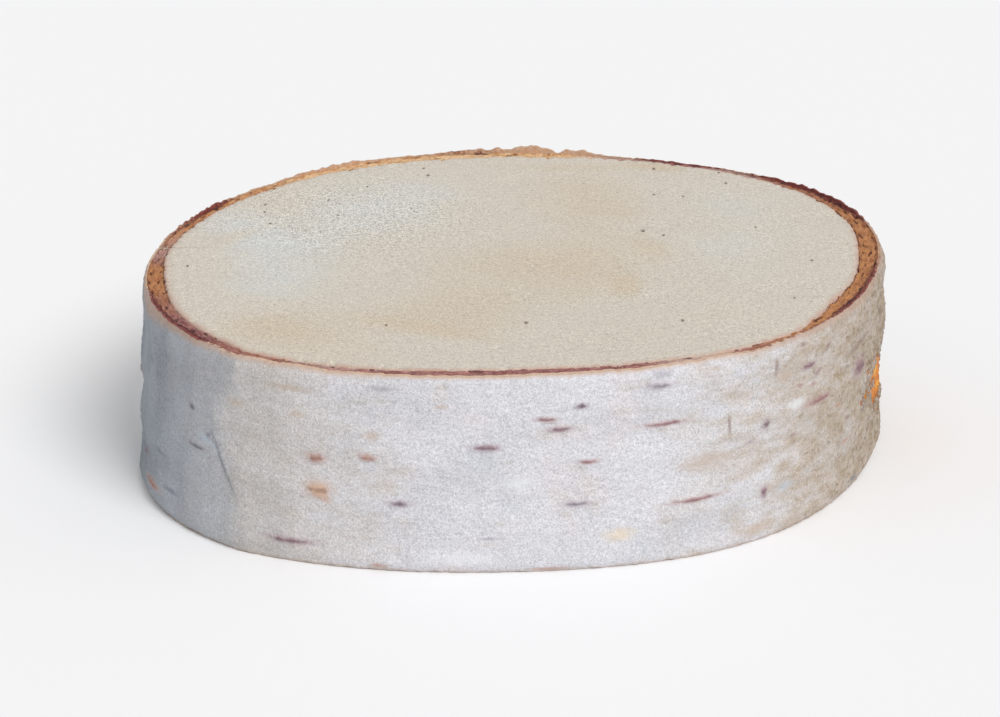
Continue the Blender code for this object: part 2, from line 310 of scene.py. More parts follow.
def grain(place, size, detail=2.0, roughness=0.5):
    """Uneven noise about 0, seldom past -1 or 1, with lumps of about the size in millimetres."""
    sockets = {"Vector": place, "Scale": 1.0 / size, "Detail": detail, "Roughness": roughness}
    return (place.node("TexNoise", {}, sockets) - 0.5) * 3.0


def rise(value, start, end):
    """0 up to the start, 1 from the end on and a smooth S between them; the start may be the higher one."""
    sockets = {"Value": value, "From Min": start, "From Max": end, "To Min": 0.0, "To Max": 1.0}
    return value.node("MapRange", {"interpolation_type": "SMOOTHSTEP"}, sockets)


def lay(below, above, share, way="MIX"):
    """Lays one colour over another by a share from 0 to 1."""
    wire = next(part for part in (share, below, above) if isinstance(part, Wire))
    return wire.node("Mix", {"data_type": "RGBA", "blend_type": way}, {0: share, 6: below, 7: above}, 2)


def shade(below, amount):
    """Makes a colour lighter or darker by a small signed amount, as a share of itself."""
    grey = amount.node("CombineColor", {}, {part: amount + 1.0 for part in range(3)})
    return lay(below, grey, 1.0, "MULTIPLY")


def bump(height):
    """Surface relief from a height in millimetres."""
    return height.node("Bump", {}, {"Strength": 1.0, "Distance": MM, "Height": height})


WOOD_COLUMNS = 720
WOOD_TOP_ROWS, WOOD_UNDER_ROWS = 70, 36
WOOD_RIM = ((0.35, 0.0), (0.2, 0.015), (0.08, 0.07), (0.02, 0.18), (0.0, 0.4))  # inset from the rim, depth
WOOD_SIDE_DEPTHS = (3.0, 8.0, 14.75, 21.5, 26.5)
PITH = (3.0, 2.0)

# Tan and pale figure of the upper face: place across and along, half width, half length, tilt, tone
WOOD_FIGURE = (
    (7.0, -7.0, 14.0, 13.0, 0.0, 0.75), (-10.0, -28.0, 9.0, 8.0, -30.0, 0.7),
    (-12.0, -34.0, 12.0, 2.2, -25.0, 0.5), (-33.0, -35.0, 13.0, 7.0, -45.0, 0.8),
    (14.0, 26.0, 11.0, 13.0, 0.0, 0.55), (10.0, 44.0, 13.0, 2.2, 0.0, 0.5),
    (22.0, 2.0, 3.5, 6.0, 20.0, 0.7), (16.5, -15.0, 2.0, 4.0, 0.0, 0.7), (-44.0, 7.0, 5.0, 2.0, 50.0, 0.6),
    (24.0, 44.0, 4.0, 2.0, -20.0, 0.8), (-20.0, 24.0, 12.0, 16.0, 0.0, -0.7),
    (-35.0, -4.0, 9.0, 18.0, 0.0, -0.8), (32.0, -1.0, 10.0, 12.0, 0.0, -0.5),
    (-45.0, 16.0, 6.0, 12.0, 25.0, -0.6), (36.0, 24.0, 10.0, 13.0, 30.0, -0.35),
)

# Where the sawn fibres stand up most: place across and along, half width, half length, tilt
WOOD_FUZZ = (-27.0, 18.0, 17.0, 17.0, 30.0)
RING_SPACING = 1.9

# A pore's half width and half length, as shares of its half size
PORE_WIDTH, PORE_LENGTH = 0.65, 1.4

# Larger pores and knots the size of a pinhead: place across and along, half size
WOOD_PORES = (
    (1.5, -31.0, 0.45), (20.2, 10.5, 0.5), (23.3, 8.3, 0.4), (51.5, 3.8, 0.3), (45.2, -3.8, 0.45),
    (22.8, 29.0, 0.4), (27.5, 28.0, 0.35), (-14.2, 39.1, 0.5), (-32.7, 10.5, 0.35), (-28.0, 18.0, 0.3),
    (-38.5, 14.0, 0.4), (-40.0, 23.5, 0.4), (-39.8, 19.5, 0.35), (-34.5, 7.5, 0.35), (-49.5, -6.3, 0.35),
    (35.0, 35.0, 0.4), (34.2, 40.8, 0.35), (23.5, 43.0, 0.5), (24.0, -30.0, 0.4), (-18.5, -32.0, 0.35),
    (33.0, -18.0, 0.3), (41.0, -20.5, 0.3), (28.0, -5.0, 0.3), (17.8, 2.0, 0.3), (-15.0, 43.0, 0.35),
    (-30.0, 26.0, 0.3), (-44.0, 2.0, 0.3), (38.0, 12.0, 0.3), (46.0, 14.0, 0.3), (-24.0, 33.0, 0.3),
)


def wood_rows():
    """The wood's section from pith to pith, as shares of the radius, insets from the rim and depths."""
    insets, depths = np.array(WOOD_RIM).T
    top, under = (np.arange(1, count + 1) / count for count in (WOOD_TOP_ROWS, WOOD_UNDER_ROWS))
    side = np.array(WOOD_SIDE_DEPTHS)
    shares = [top, np.ones(len(insets) - 1), np.ones(len(side)), np.ones(len(insets) - 1), under[::-1]]
    at_rim = insets[0]
    inset = [at_rim + 0.0 * top, insets[1:], 0.0 * side, insets[:0:-1], at_rim + 0.0 * under]
    depth = [0.0 * top, depths[1:], side, THICKNESS - depths[:0:-1], THICKNESS + 0.0 * under]
    return [np.concatenate(part)[:, None] for part in (shares, inset, depth)]


def wood_points():
    """Rows along the section times columns round the stem, with a chipped rim and a roll, then two poles."""
    share, inset, depth = wood_rows()
    angle = np.arange(WOOD_COLUMNS)[None, :] * 360.0 / WOOD_COLUMNS
    rim = side_radius(angle, depth) - eased_round(BARK_WIDTHS, angle)
    at_rim = stem_points(angle, depth, rim)
    chips = np.clip(rolling(at_rim, 1.3, 21) + 0.6 * rolling(at_rim, 3.5, 22), 0.0, None)
    near_rim = ease(share, 0.97, 1.0)
    radius = share * (rim - inset) - 0.13 * near_rim * chips
    points = stem_points(angle, depth, radius)
    on_top, under = (depth < 0.2) * 1.0, (depth > THICKNESS - 0.2) * 1.0
    relief = 0.03 * rolling(points, 14.0, 23) + 0.012 * rolling(points, 2.2, 24)
    sunk = 0.1 * near_rim * chips + 0.02 - relief * (1.0 - 0.5 * near_rim)
    points[..., 2] += (under - on_top) * np.clip(sunk, 0.0, None)
    poles = stem_points(np.zeros(2), np.array((0.0, THICKNESS)), np.zeros(2))
    return np.concatenate([points.reshape(-1, 3), poles])


def nearest_marks(across, along, marks):
    """Each point's place in its nearest mark, as shares of the mark's half sizes, how near it is, and which.

    A mark is its place, half width, half length and tilt. Being near falls from 1 at the middle of the mark
    to 0 at twice its size, so that a value that jumps from one mark to the next does so where none shows.
    """
    best = np.full(across.shape, np.inf)
    place = np.zeros((*across.shape, 2))
    which = np.zeros(across.shape, int)
    for index, (x, y, half_width, half_length, tilt) in enumerate(marks):
        cos, sin = math.cos(math.radians(tilt)), math.sin(math.radians(tilt))
        u = ((across - x) * cos + (along - y) * sin) / half_width
        v = ((along - y) * cos - (across - x) * sin) / half_length
        away = np.hypot(u, v)
        nearer = away < best
        best = np.where(nearer, away, best)
        place = np.where(nearer[..., None], np.stack([u, v], axis=-1), place)
        which = np.where(nearer, index, which)
    near = np.clip(1.0 - best / 2.0, 0.0, 1.0)
    return np.concatenate([place, near[..., None]], axis=-1), which


def wood_layers(points):
    """Growth (0 at the pith, 1 at the bark), tan or pale tone, coarseness, and place in the nearest pore."""
    across, along = points[:, 0] - AXIS_X, points[:, 1] - AXIS_Y
    angle = np.degrees(np.arctan2(along, across))
    rim = outline_radius(angle, 0.0) - eased_round(BARK_WIDTHS, angle)
    share = np.hypot(across, along) / rim
    off_pith = np.hypot(across - PITH[0] * (1.0 - share), along - PITH[1] * (1.0 - share))
    tone = np.zeros(len(points))
    for x, y, half_width, half_length, tilt, strength in WOOD_FIGURE:
        place, _ = nearest_marks(across, along, [(x, y, half_width, half_length, tilt)])
        tone += strength * ease(np.hypot(place[:, 0], place[:, 1]), 1.9, 0.1)
    fuzz, _ = nearest_marks(across, along, [WOOD_FUZZ])
    coarse = ease(np.hypot(fuzz[:, 0], fuzz[:, 1]), 1.7, 0.3)
    ovals = [(x, y, PORE_WIDTH * size, PORE_LENGTH * size, 0.0) for x, y, size in WOOD_PORES]
    pores, _ = nearest_marks(across, along, ovals)
    upper = (points[:, 2] > THICKNESS / 2.0) * 1.0
    tone = np.clip(tone, -1.2, 1.2) * (1.6 * upper - 0.6)
    return {
        "wood_zones": np.stack([off_pith / rim, tone, coarse * upper], axis=-1),
        "pore_place": pores * np.stack([np.ones_like(upper), np.ones_like(upper), upper], axis=-1),
    }


def wood_material():
    """Pale sanded end grain: sandy grain, faint growth rings, tan and pale figure, small dark pores."""
    material, shader, start = new_material("sawn birch end grain")
    place = place_in_mm(start)
    growth, tone, coarse = parts(stored(start, "wood_zones"))
    pore_u, pore_v, pore_near = parts(stored(start, "pore_place"))
    cloud = grain(place, 16.0, 3.0)
    mottle = grain(place_in_mm(start, shift=(0.0, 20.0, 60.0)), 2.8, 3.0, 0.6)
    sand = grain(place_in_mm(start, shift=(40.0, 0.0, 7.0)), 0.6, 2.0, 0.8)
    fine = grain(place_in_mm(start, shift=(0.0, 90.0, 3.0)), 0.26, 1.0)
    grown = growth * MEAN_RADIUS + cloud + mottle * 0.25
    late = rise((grown * (2.0 * math.pi / RING_SPACING)).sine(), 0.2, 1.0) * rise(growth, 0.06, 0.2)
    late = late * rise(cloud + mottle, -0.7, 0.6)

    base = lay(colour(214, 205, 191), colour(211, 196, 174), rise(tone + 0.35 * cloud, 0.05, 1.0))
    base = lay(base, colour(214, 215, 212), rise(tone + 0.3 * cloud, -0.05, -1.2))
    rough = coarse * 1.1 + 0.8
    base = shade(base, late * -0.035 + cloud * 0.012 + mottle * 0.03 + (sand * 0.26 + fine * 0.34) * rough)
    base = lay(base, colour(248, 246, 240), rise(fine + 0.6 * sand, 0.4, 0.9) * (coarse * 0.7 + 0.3))
    base = lay(base, colour(138, 120, 106), rise(sand + 0.5 * fine, -0.5, -1.0) * (coarse * 0.5 + 0.35))
    rim_stain = rise(growth * MEAN_RADIUS + 0.5 * mottle + 0.4 * sand, MEAN_RADIUS - 1.5, MEAN_RADIUS + 0.2)
    base = lay(base, colour(188, 136, 116), rim_stain * 0.75)
    freckle = place.node("TexVoronoi", {}, {"Vector": place, "Scale": 0.36})
    chosen = rise(grain(place_in_mm(start, shift=(5.0, 60.0, 0.0)), 7.0, 1.0), 0.15, 0.45)
    freckles = rise(freckle, 0.085, 0.04) * chosen
    pore_away = (pore_u * pore_u + pore_v * pore_v) ** 0.5 + 0.35 * sand
    pores = rise(pore_away, 1.05, 0.3) * rise(pore_near, 0.1, 0.3)
    halo = rise(pore_away, 1.8, 0.8) * rise(pore_near, 0.02, 0.2)
    base = lay(base, colour(186, 168, 150), halo * 0.4)
    base = lay(base, colour(104, 84, 76), freckles * 0.5)
    base = lay(base, colour(84, 66, 62), pores * 0.75)
    relief = sand * 0.022 + fine * 0.01 + late * 0.01 - pores * 0.14 - freckles * 0.05
    plug(shader, base_color=base, roughness=0.74 + sand * 0.05, normal=bump(relief))
    return material


def torn_material():
    """Freshly torn fibres on the walls of the split: pale, stringy along the stem."""
    material, shader, start = new_material("torn pale fibres")
    strings = grain(place_in_mm(start, (1.0, 1.0, 0.12)), 0.4, 2.0)
    deep = rise(parts(place_in_mm(start))[2], THICKNESS - 1.2, THICKNESS - 4.0)
    base = lay(colour(226, 214, 198), colour(176, 140, 112), rise(strings, -0.4, 0.8))
    base = lay(base, colour(104, 68, 52), deep)
    plug(shader, base_color=base, roughness=0.8, normal=bump(strings * 0.06))
    return material


# The drying split: its direction, its mouth in the bark, and how far and how deep it runs into the wood
SPLIT_DIRECTION, SPLIT_MOUTH, SPLIT_NECK, SPLIT_TIP = 177.4, 2.1, 0.4, 0.12
SPLIT_REACH, SPLIT_DEPTH, SPLIT_TIP_DEPTH, SPLIT_FOOT_SHARE, SPLIT_OVERRUN = 7.0, 11.0, 3.5, 0.2, 3.0
SPLIT_STATIONS = 40

TORN = torn_material()


def split_blade():
    """The split as a thin wavering blade: its width and depth run straight between mouth, neck and tip."""
    rim = float(side_radius(SPLIT_DIRECTION, 0.0))
    neck = rim - float(eased_round(BARK_WIDTHS, SPLIT_DIRECTION))
    overrun_width = SPLIT_MOUTH + (SPLIT_MOUTH - SPLIT_NECK) * SPLIT_OVERRUN / (rim - neck)
    outward = np.linspace(rim - SPLIT_REACH, rim + SPLIT_OVERRUN, SPLIT_STATIONS)[:, None]
    stops = (rim - SPLIT_REACH, neck, rim + SPLIT_OVERRUN)
    half = np.interp(outward, stops, (SPLIT_TIP, SPLIT_NECK, overrun_width)) / 2.0
    depth = np.interp(outward, stops, (SPLIT_TIP_DEPTH, SPLIT_DEPTH, SPLIT_DEPTH))
    sideways = half * np.array((-1.0, 1.0, SPLIT_FOOT_SHARE, -SPLIT_FOOT_SHARE))
    levels = np.concatenate([np.full((SPLIT_STATIONS, 2), -SPLIT_OVERRUN), depth, depth], axis=1)
    inside = ease(rim - outward, 1.0, 4.0)
    sway = inside * (0.22 * np.sin(outward * 2.1) + 0.12 * np.sin(outward * 5.3 + 1.0))
    turn = math.radians(SPLIT_DIRECTION)
    off = sideways + sway
    across = AXIS_X + outward * math.cos(turn) - off * math.sin(turn)
    along = AXIS_Y + outward * math.sin(turn) + off * math.cos(turn)
    points = np.stack([across, along, THICKNESS - levels], axis=-1)
    walls = ring_quads(SPLIT_STATIONS, 4, False)
    ends = np.array([(0, 1, 2, 3), (3, 2, 1, 0)]) + np.array([[0], [4 * (SPLIT_STATIONS - 1)]])
    blade = new_piece("split_blade", points, [walls, ends], {}, [TORN])
    blade.hide_render = True
    return blade


def open_split(piece):
    """Cuts the drying split out of a piece; the new walls take the blade's material."""
    blade = split_blade()
    cut = piece.modifiers.new("split", "BOOLEAN")
    cut.operation, cut.object, cut.solver = "DIFFERENCE", blade, "MANIFOLD"
    cut.material_mode = "TRANSFER"
    graph = bpy.context.evaluated_depsgraph_get()
    piece.data = bpy.data.meshes.new_from_object(piece.evaluated_get(graph))
    piece.modifiers.clear()
    bpy.data.objects.remove(blade)
    piece.data.set_sharp_from_angle(angle=math.radians(65.0))


def grown_piece(piece):
    """Every zone of the slice rides on its one body and stands for its one solid."""
    open_split(piece)
    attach(piece, "root")
    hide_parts("birch_slice")


wood_shape = wood_points()
wood_row_count = (len(wood_shape) - 2) // WOOD_COLUMNS
wood_faces = [ring_quads(wood_row_count, WOOD_COLUMNS, False), pole_fans(wood_row_count, WOOD_COLUMNS)]
sawn_wood = new_piece("sawn_wood", wood_shape, wood_faces, wood_layers(wood_shape), [wood_material()])
grown_piece(sawn_wood)

# The inner bark. It is the brown ring between wood and outer bark, dried lower than the saw cut, crumbly and
# split into short dark dashes. It is orange at the right, yellow at the back and purple-brown at the front.
INNER_COLUMNS = 1080
INNER_TOP_ROWS, INNER_UNDER_ROWS = 30, 14
INNER_OVERLAP, INNER_WALL_INSET = 0.15, 0.3
INNER_WALL_DEPTHS = (3.0, 14.75, 26.5)
GROOVE_DEPTH, GROOVE_BANK, GROOVE_LEVELS = 0.3, 0.35, ((1, -0.1, -90.0),)
LUMP_STRETCH = 3.2
OUTER_SETBACK = 0.12
OUTER_WIDTHS = (
    (-180.0, 0.35), (-168.0, 0.25), (-157.0, 0.35), (-145.0, 0.5), (-120.0, 0.8), (-90.0, 0.9),
    (-60.0, 0.7), (-45.0, 0.4), (-12.0, 0.35), (60.0, 0.35), (90.0, 0.6), (150.0, 0.45),
)

# How much of each colour the ring has: direction, share
RING_ORANGE = (
    (-180.0, 0.3), (-168.0, 0.9), (-157.0, 0.45), (-145.0, 0.1), (-130.0, 0.35), (-108.0, 0.1),
    (-60.0, 0.2), (-36.0, 0.85), (-6.0, 1.0), (14.0, 0.75), (36.0, 0.45), (60.0, 0.1), (75.0, 0.6),
    (120.0, 0.8), (168.0, 0.9),
)
RING_YELLOW = ((-180.0, 0.0), (66.0, 0.0), (80.0, 1.0), (128.0, 0.9), (145.0, 0.4), (168.0, 0.25))
RING_PALE = (
    (-180.0, 0.5), (-168.0, 0.0), (-140.0, 0.0), (-130.0, 0.3), (-119.0, 0.5), (-105.0, 0.15), (-92.0, 0.0),
    (-74.0, 0.0), (-60.0, 1.0), (-49.0, 0.1), (-36.0, 0.0), (32.0, 0.0), (48.0, 0.7), (58.0, 0.3),
    (70.0, 0.7), (84.0, 0.2), (150.0, 0.1),
)

# Where the bark's cut edge is stained dark red-brown: direction, share
DARK_EDGE = (
    (-180.0, 0.3), (-168.0, 0.15), (-157.0, 0.9), (-143.0, 1.0), (-133.0, 0.4), (-120.0, 0.1), (-96.0, 0.1),
    (-72.0, 0.2), (-60.0, 0.0), (-48.0, 0.45), (-36.0, 0.55), (-24.0, 1.0), (-10.0, 0.8), (0.0, 0.35),
    (11.0, 0.35), (22.0, 1.0), (38.0, 0.9), (48.0, 0.5), (59.0, 0.9), (72.0, 0.4), (84.0, 0.0), (98.0, 0.5),
    (120.0, 0.2), (144.0, 0.2), (157.0, 0.9), (168.0, 0.6),
)


def inner_rows():
    """The ring's section: shares from the wood (0) to the outer bark (1), and the depth before it is sunk."""
    top, under = np.linspace(0.0, 1.0, INNER_TOP_ROWS), np.linspace(1.0, 0.0, INNER_UNDER_ROWS)
    wall = np.array(INNER_WALL_DEPTHS)
    share = np.concatenate([top, np.ones(len(wall)), under, np.zeros(len(wall))])
    level = np.concatenate([np.zeros(len(top)), wall, np.full(len(under), THICKNESS), wall[::-1]])
    return share[:, None], level[:, None]


def inner_points():
    """A groove with a bank on either side, filled with lumps along the ring and cut by short cracks."""
    share, level = inner_rows()
    angle = np.arange(INNER_COLUMNS)[None, :] * 360.0 / INNER_COLUMNS
    edge = side_radius(angle, level)
    outer, whole = eased_round(OUTER_WIDTHS, angle), eased_round(BARK_WIDTHS, angle)
    inset = whole + INNER_OVERLAP + (outer - whole - 2.0 * INNER_OVERLAP) * share
    on_wall = (level > 0.0) & (level < THICKNESS) & (share == 1.0)
    radius = edge - np.where(on_wall, outer + INNER_WALL_INSET, inset)
    from_wood, from_outer = whole - inset, inset - outer
    bank = 1.0 - 0.75 * ease(from_outer, GROOVE_BANK, 0.0) - 0.4 * ease(from_wood, 0.6, 0.0)
    # Lumps are read on a round ring, where the inset counts for more, so that they lie along it
    turn = np.radians(angle)
    on_ring = MEAN_RADIUS * np.cos(turn), MEAN_RADIUS * np.sin(turn), LUMP_STRETCH * inset
    run = np.stack(np.broadcast_arrays(*on_ring), axis=-1)
    lumps = rolling(run, 2.6, 31) + 0.8 * rolling(run, 1.1, 32)
    cracks = ease(rolling(run, 3.4, 33, (1.0, 1.0, 1.6)), 0.9, 1.7)
    seam = hump(from_wood - 0.12 - 0.08 * rolling(run, 1.8, 34, (1.0, 1.0, 0.0)), 0.12)
    sunk = (GROOVE_DEPTH + waves(GROOVE_LEVELS, angle)) * bank
    sunk = sunk + 0.07 * lumps * ease(from_wood, 0.0, 0.4) + 0.25 * cracks * ease(from_outer, -0.1, 0.3)
    under_edges = ease(from_wood, 0.02, -0.2) + ease(from_outer, 0.0, -0.12)
    sunk = np.maximum(sunk + 0.3 * seam, 0.14) + 0.5 * under_edges
    on_top, under = (level <= 0.0) * 1.0, (level >= THICKNESS) * 1.0
    depth = level + (on_top - under) * sunk
    shares = [eased_round(stations, angle) for stations in (RING_ORANGE, RING_YELLOW, RING_PALE)]
    across = np.clip((whole - inset) / (whole - outer), 0.0, 1.0)
    place = across, cracks + seam, eased_round(DARK_EDGE, angle)
    layers = {
        "ring_tint": np.stack(np.broadcast_arrays(*shares, radius)[:3], axis=-1),
        "ring_place": np.stack(np.broadcast_arrays(*place), axis=-1),
        "ring_run": run * np.ones((*radius.shape, 1)),
    }
    return stem_points(angle, depth, radius), layers


def inner_material():
    """Dry inner bark: browns that lie in strips along the ring, a dark red band outside, dark dashes and
    painted shade in the cracks.
    """
    material, shader, start = new_material("dry brown inner bark")
    orange, yellow, pale = parts(stored(start, "ring_tint"))
    share, cracks, dark_edge = parts(stored(start, "ring_place"))
    run = stored(start, "ring_run")
    strips = grain(run, 2.2, 3.0, 0.7)
    aside = run.node("VectorMath", {"operation": "ADD"}, {0: run, 1: (31.0, 7.0, 0.0)})
    blots = grain(aside, 1.2, 2.0, 0.7)
    crumbs = grain(place_in_mm(start), 0.32, 2.0, 0.8)
    lumps = grain(place_in_mm(start, shift=(9.0, 0.0, 50.0)), 0.9, 2.0, 0.7)
    plain = (1 - pale) * (1 - yellow * 0.6)
    base = lay(colour(190, 136, 126), colour(128, 78, 80), rise(strips + 0.5 * crumbs, -0.5, 0.7))
    core = rise(share + 0.2 * blots, 0.15, 0.5) * rise(share + 0.2 * lumps, 1.05, 0.75)
    base = lay(base, colour(116, 62, 70), core * plain * rise(lumps + blots, -0.4, 0.5) * 0.75)
    warm = lay(colour(198, 138, 90), colour(150, 92, 60), rise(strips + 0.5 * crumbs, -0.4, 0.8))
    warm = lay(warm, colour(214, 136, 56), rise(lumps + 0.4 * crumbs, 0.2, 0.7) * 0.8)
    warm = lay(warm, colour(118, 62, 48), rise(lumps + 0.4 * crumbs, -0.35, -0.8) * 0.7)
    base = lay(base, warm, rise(orange + 0.35 * strips, 0.15, 0.75))
    browned = rise(strips + 0.5 * share + 0.3 * crumbs, 0.0, 0.9)
    gold = lay(colour(232, 196, 154), colour(192, 138, 88), browned)
    base = lay(base, gold, rise(yellow + 0.4 * blots, 0.2, 0.8))
    base = lay(base, colour(200, 172, 162), rise(pale + 0.3 * blots, 0.2, 0.9) * 0.85)
    outside = rise(share + 0.15 * blots + 0.08 * crumbs, 1.0 - 0.35 * dark_edge, 1.06 - 0.26 * dark_edge)
    dark_red = lay(colour(132, 58, 54), colour(70, 34, 36), rise(blots + crumbs, -0.5, 0.5))
    base = lay(base, dark_red, outside * dark_edge)
    dashes = rise(blots + 0.4 * crumbs, 0.4, 0.9) * rise(share, 0.25, 0.6) * (1 - pale * 0.8)
    at_wood = rise(share, 0.2, 0.06) * rise(blots + 0.4 * strips, -0.1, 0.35)
    # The sunk cracks and the seam at the wood are darkened partly as painted shade in these recesses and
    # partly as the bark's own dark cambium; the dashes are the bark's own dark specks
    dark = dashes.larger(at_wood).larger(rise(cracks, 0.45, 1.0) * (1 - pale * 0.7))
    base = lay(base, colour(76, 44, 46), dark * 0.8)
    # Pale cream specks on the raised crumbs: partly pale fibres, partly painted highlights
    base = lay(base, colour(240, 206, 160), rise(crumbs + 0.4 * lumps, 0.55, 1.0) * 0.5)
    base = shade(base, crumbs * 0.55)
    plug(shader, base_color=base, roughness=0.86, normal=bump(strips * 0.06 + crumbs * 0.07 - dark * 0.1))
    return material


inner_shape, inner_layers = inner_points()
inner_faces = [ring_quads(len(inner_shape), INNER_COLUMNS, True)]
inner_bark = new_piece("inner_bark", inner_shape, inner_faces, inner_layers, [inner_material()])
grown_piece(inner_bark)

# The outer bark. It is the white papery skin, grown on the inner bark, with corky lenticels that lie across
# the stem, scars, stains, an upright fold at the left and a peeled patch at the right.
OUTER_COLUMNS = 1040
OUTER_SIDE_ROWS, OUTER_EDGE_ROWS = 80, 4
OUTER_HIDDEN_DEPTHS = (2.0, 14.75, 27.5)
OUTER_ROOT = 0.6
TORN_LIPS = ((30.0, 14.0, 0.3), (86.0, 11.0, 0.8), (126.0, 8.0, 0.45), (160.0, 13.0, 0.4))

# Lenticels and scars on the side that was measured: direction, depth, length across the stem, breadth, tint
CORK_TINTS = {
    "purple": colour(134, 100, 112), "dark": colour(104, 80, 92), "red": colour(158, 114, 112),
    "rust": colour(178, 130, 108), "grey": colour(160, 154, 164), "ochre": colour(200, 156, 118),
    "cream": colour(226, 206, 174), "tan": colour(190, 170, 154), "slate": colour(104, 108, 120),
    "pale": colour(178, 190, 202), "white": colour(228, 230, 234), "brown": colour(128, 100, 84),
}
MEASURED_MARKS = (
    (-80.1, 4.6, 1.9, 0.9, "dark"), (-85.5, 6.3, 3.2, 0.8, "red"), (-83.4, 7.9, 3.8, 0.9, "purple"),
    (-94.4, 10.4, 4.0, 1.0, "purple"), (-79.0, 12.9, 3.2, 0.7, "red"), (-67.1, 8.5, 6.8, 0.8, "red"),
    (-49.5, 11.4, 1.6, 1.4, "dark"), (-119.2, 13.1, 2.8, 1.6, "rust"), (-111.7, 12.2, 2.4, 1.2, "rust"),
    (-118.8, 17.8, 3.6, 2.4, "ochre"), (-107.0, 18.9, 3.0, 1.0, "dark"), (-80.8, 19.3, 4.0, 0.9, "grey"),
    (-61.8, 20.4, 8.0, 0.8, "red"), (-122.9, 26.0, 6.8, 1.0, "purple"), (-68.0, 2.6, 4.2, 1.2, "grey"),
    (-49.3, 22.0, 1.4, 2.0, "purple"), (-140.6, 10.2, 1.8, 1.2, "slate"), (-139.7, 15.9, 4.4, 0.8, "slate"),
    (-37.2, 11.0, 6.8, 1.1, "red"), (-22.6, 10.6, 5.0, 2.6, "purple"), (-39.6, 5.2, 3.4, 1.1, "purple"),
)

# Lenticels on the rest of the bark follow the same sizes, spread by a seeded draw and kept apart
DRAWN_MARKS, DRAWN_FROM, DRAWN_TO, DRAWN_FROM_EDGE = 22, -15.0, 212.0, 2.5
DRAWN_LENGTHS, DRAWN_BREADTHS, DRAWN_TINTS = (2.4, 7.5), (0.8, 1.1), ("purple", "red", "dark", "grey", "rust")
CLEAR_OF_SPLIT, MARK_CLEARANCE, MARK_SEED = 6.0, 2.2, 11

# Stains that lie flat in the bark: direction, depth, length, breadth, tilt, tint
STAINS = (
    (-67.5, 1.1, 3.6, 1.3, 0.0, "grey"), (-58.5, 1.4, 2.0, 0.7, 0.0, "tan"),
    (-52.0, 13.8, 1.3, 0.8, 0.0, "grey"), (-56.2, 10.2, 0.7, 3.2, 0.0, "brown"),
    (-84.5, 29.0, 6.3, 0.7, 0.0, "rust"), (-110.4, 28.6, 2.5, 1.0, 0.0, "rust"),
    (-93.9, 24.0, 3.2, 0.6, 0.0, "grey"), (-121.9, 7.0, 2.6, 1.1, 0.0, "tan"),
    (-111.0, 9.0, 2.6, 1.6, 0.0, "tan"), (-41.0, 1.6, 1.4, 0.7, 10.0, "purple"),
    (-34.5, 3.6, 1.8, 0.8, 20.0, "purple"), (-47.2, 3.4, 0.8, 3.4, 0.0, "brown"),
    (-36.8, 6.9, 2.2, 0.8, 15.0, "purple"), (-41.2, 7.8, 1.2, 0.6, 0.0, "red"),
    (-38.0, 8.5, 1.5, 0.7, 0.0, "red"), (-26.2, 17.5, 1.8, 0.8, 0.0, "purple"),
    (-42.8, 14.9, 1.4, 0.6, 0.0, "red"), (-22.8, 6.8, 8.0, 1.6, 9.0, "brown"),
    (-9.2, 6.4, 1.6, 1.0, 0.0, "dark"), (-8.5, 11.4, 1.6, 1.0, 0.0, "dark"),
    (-15.8, 22.9, 3.4, 0.6, 30.0, "dark"), (-131.4, 7.0, 2.8, 1.2, 0.0, "tan"),
    (-137.2, 13.5, 1.3, 0.8, 0.0, "slate"), (-134.0, 17.0, 10.0, 0.7, -62.0, "slate"),
    (-137.6, 14.4, 5.4, 1.0, -16.0, "pale"), (-118.0, 18.9, 2.2, 1.1, -30.0, "ochre"),
    (-23.8, 28.0, 3.0, 1.2, 0.0, "slate"), (-45.3, 5.4, 3.0, 2.0, 0.0, "tan"),
    (-30.5, 14.0, 2.0, 0.7, 0.0, "rust"), (-28.0, 20.6, 2.6, 0.8, 0.0, "rust"),
    (-33.0, 24.5, 2.2, 0.7, 0.0, "tan"), (-19.0, 18.2, 2.2, 0.9, 20.0, "dark"),
    (-150.0, 20.5, 3.4, 0.8, 0.0, "slate"), (-155.0, 8.0, 2.6, 1.0, 0.0, "slate"),
    (-146.0, 25.0, 4.0, 0.7, 0.0, "slate"), (-101.0, 4.2, 2.2, 0.7, 0.0, "tan"),
    (-50.7, 27.4, 6.0, 2.2, 0.0, "tan"), (-42.4, 10.2, 4.0, 1.6, 0.0, "white"),
    (-44.7, 22.2, 3.6, 1.6, 0.0, "pale"), (-109.5, 1.9, 4.6, 0.9, 0.0, "grey"),
    (-123.0, 3.2, 7.0, 1.1, 0.0, "tan"), (-90.0, 15.8, 5.0, 2.0, 0.0, "white"),
    (-74.0, 24.4, 5.0, 2.2, 0.0, "cream"), (-60.0, 15.0, 9.0, 3.0, 0.0, "tan"),
    (-98.0, 27.0, 8.0, 2.0, 0.0, "white"),
)

# The peeled patch: direction, depth, half length and half breadth in millimetres, how deep it lies, slope
PEEL_DIRECTION, PEEL_LEVEL, PEEL_HALF_LENGTH, PEEL_HALF_BREADTH, PEEL_DEPTH = -4.0, 17.3, 12.0, 4.9, 0.34
PEEL_SLOPE = 0.12
MARK_RISE, MARK_SUNK = 0.32, 0.6
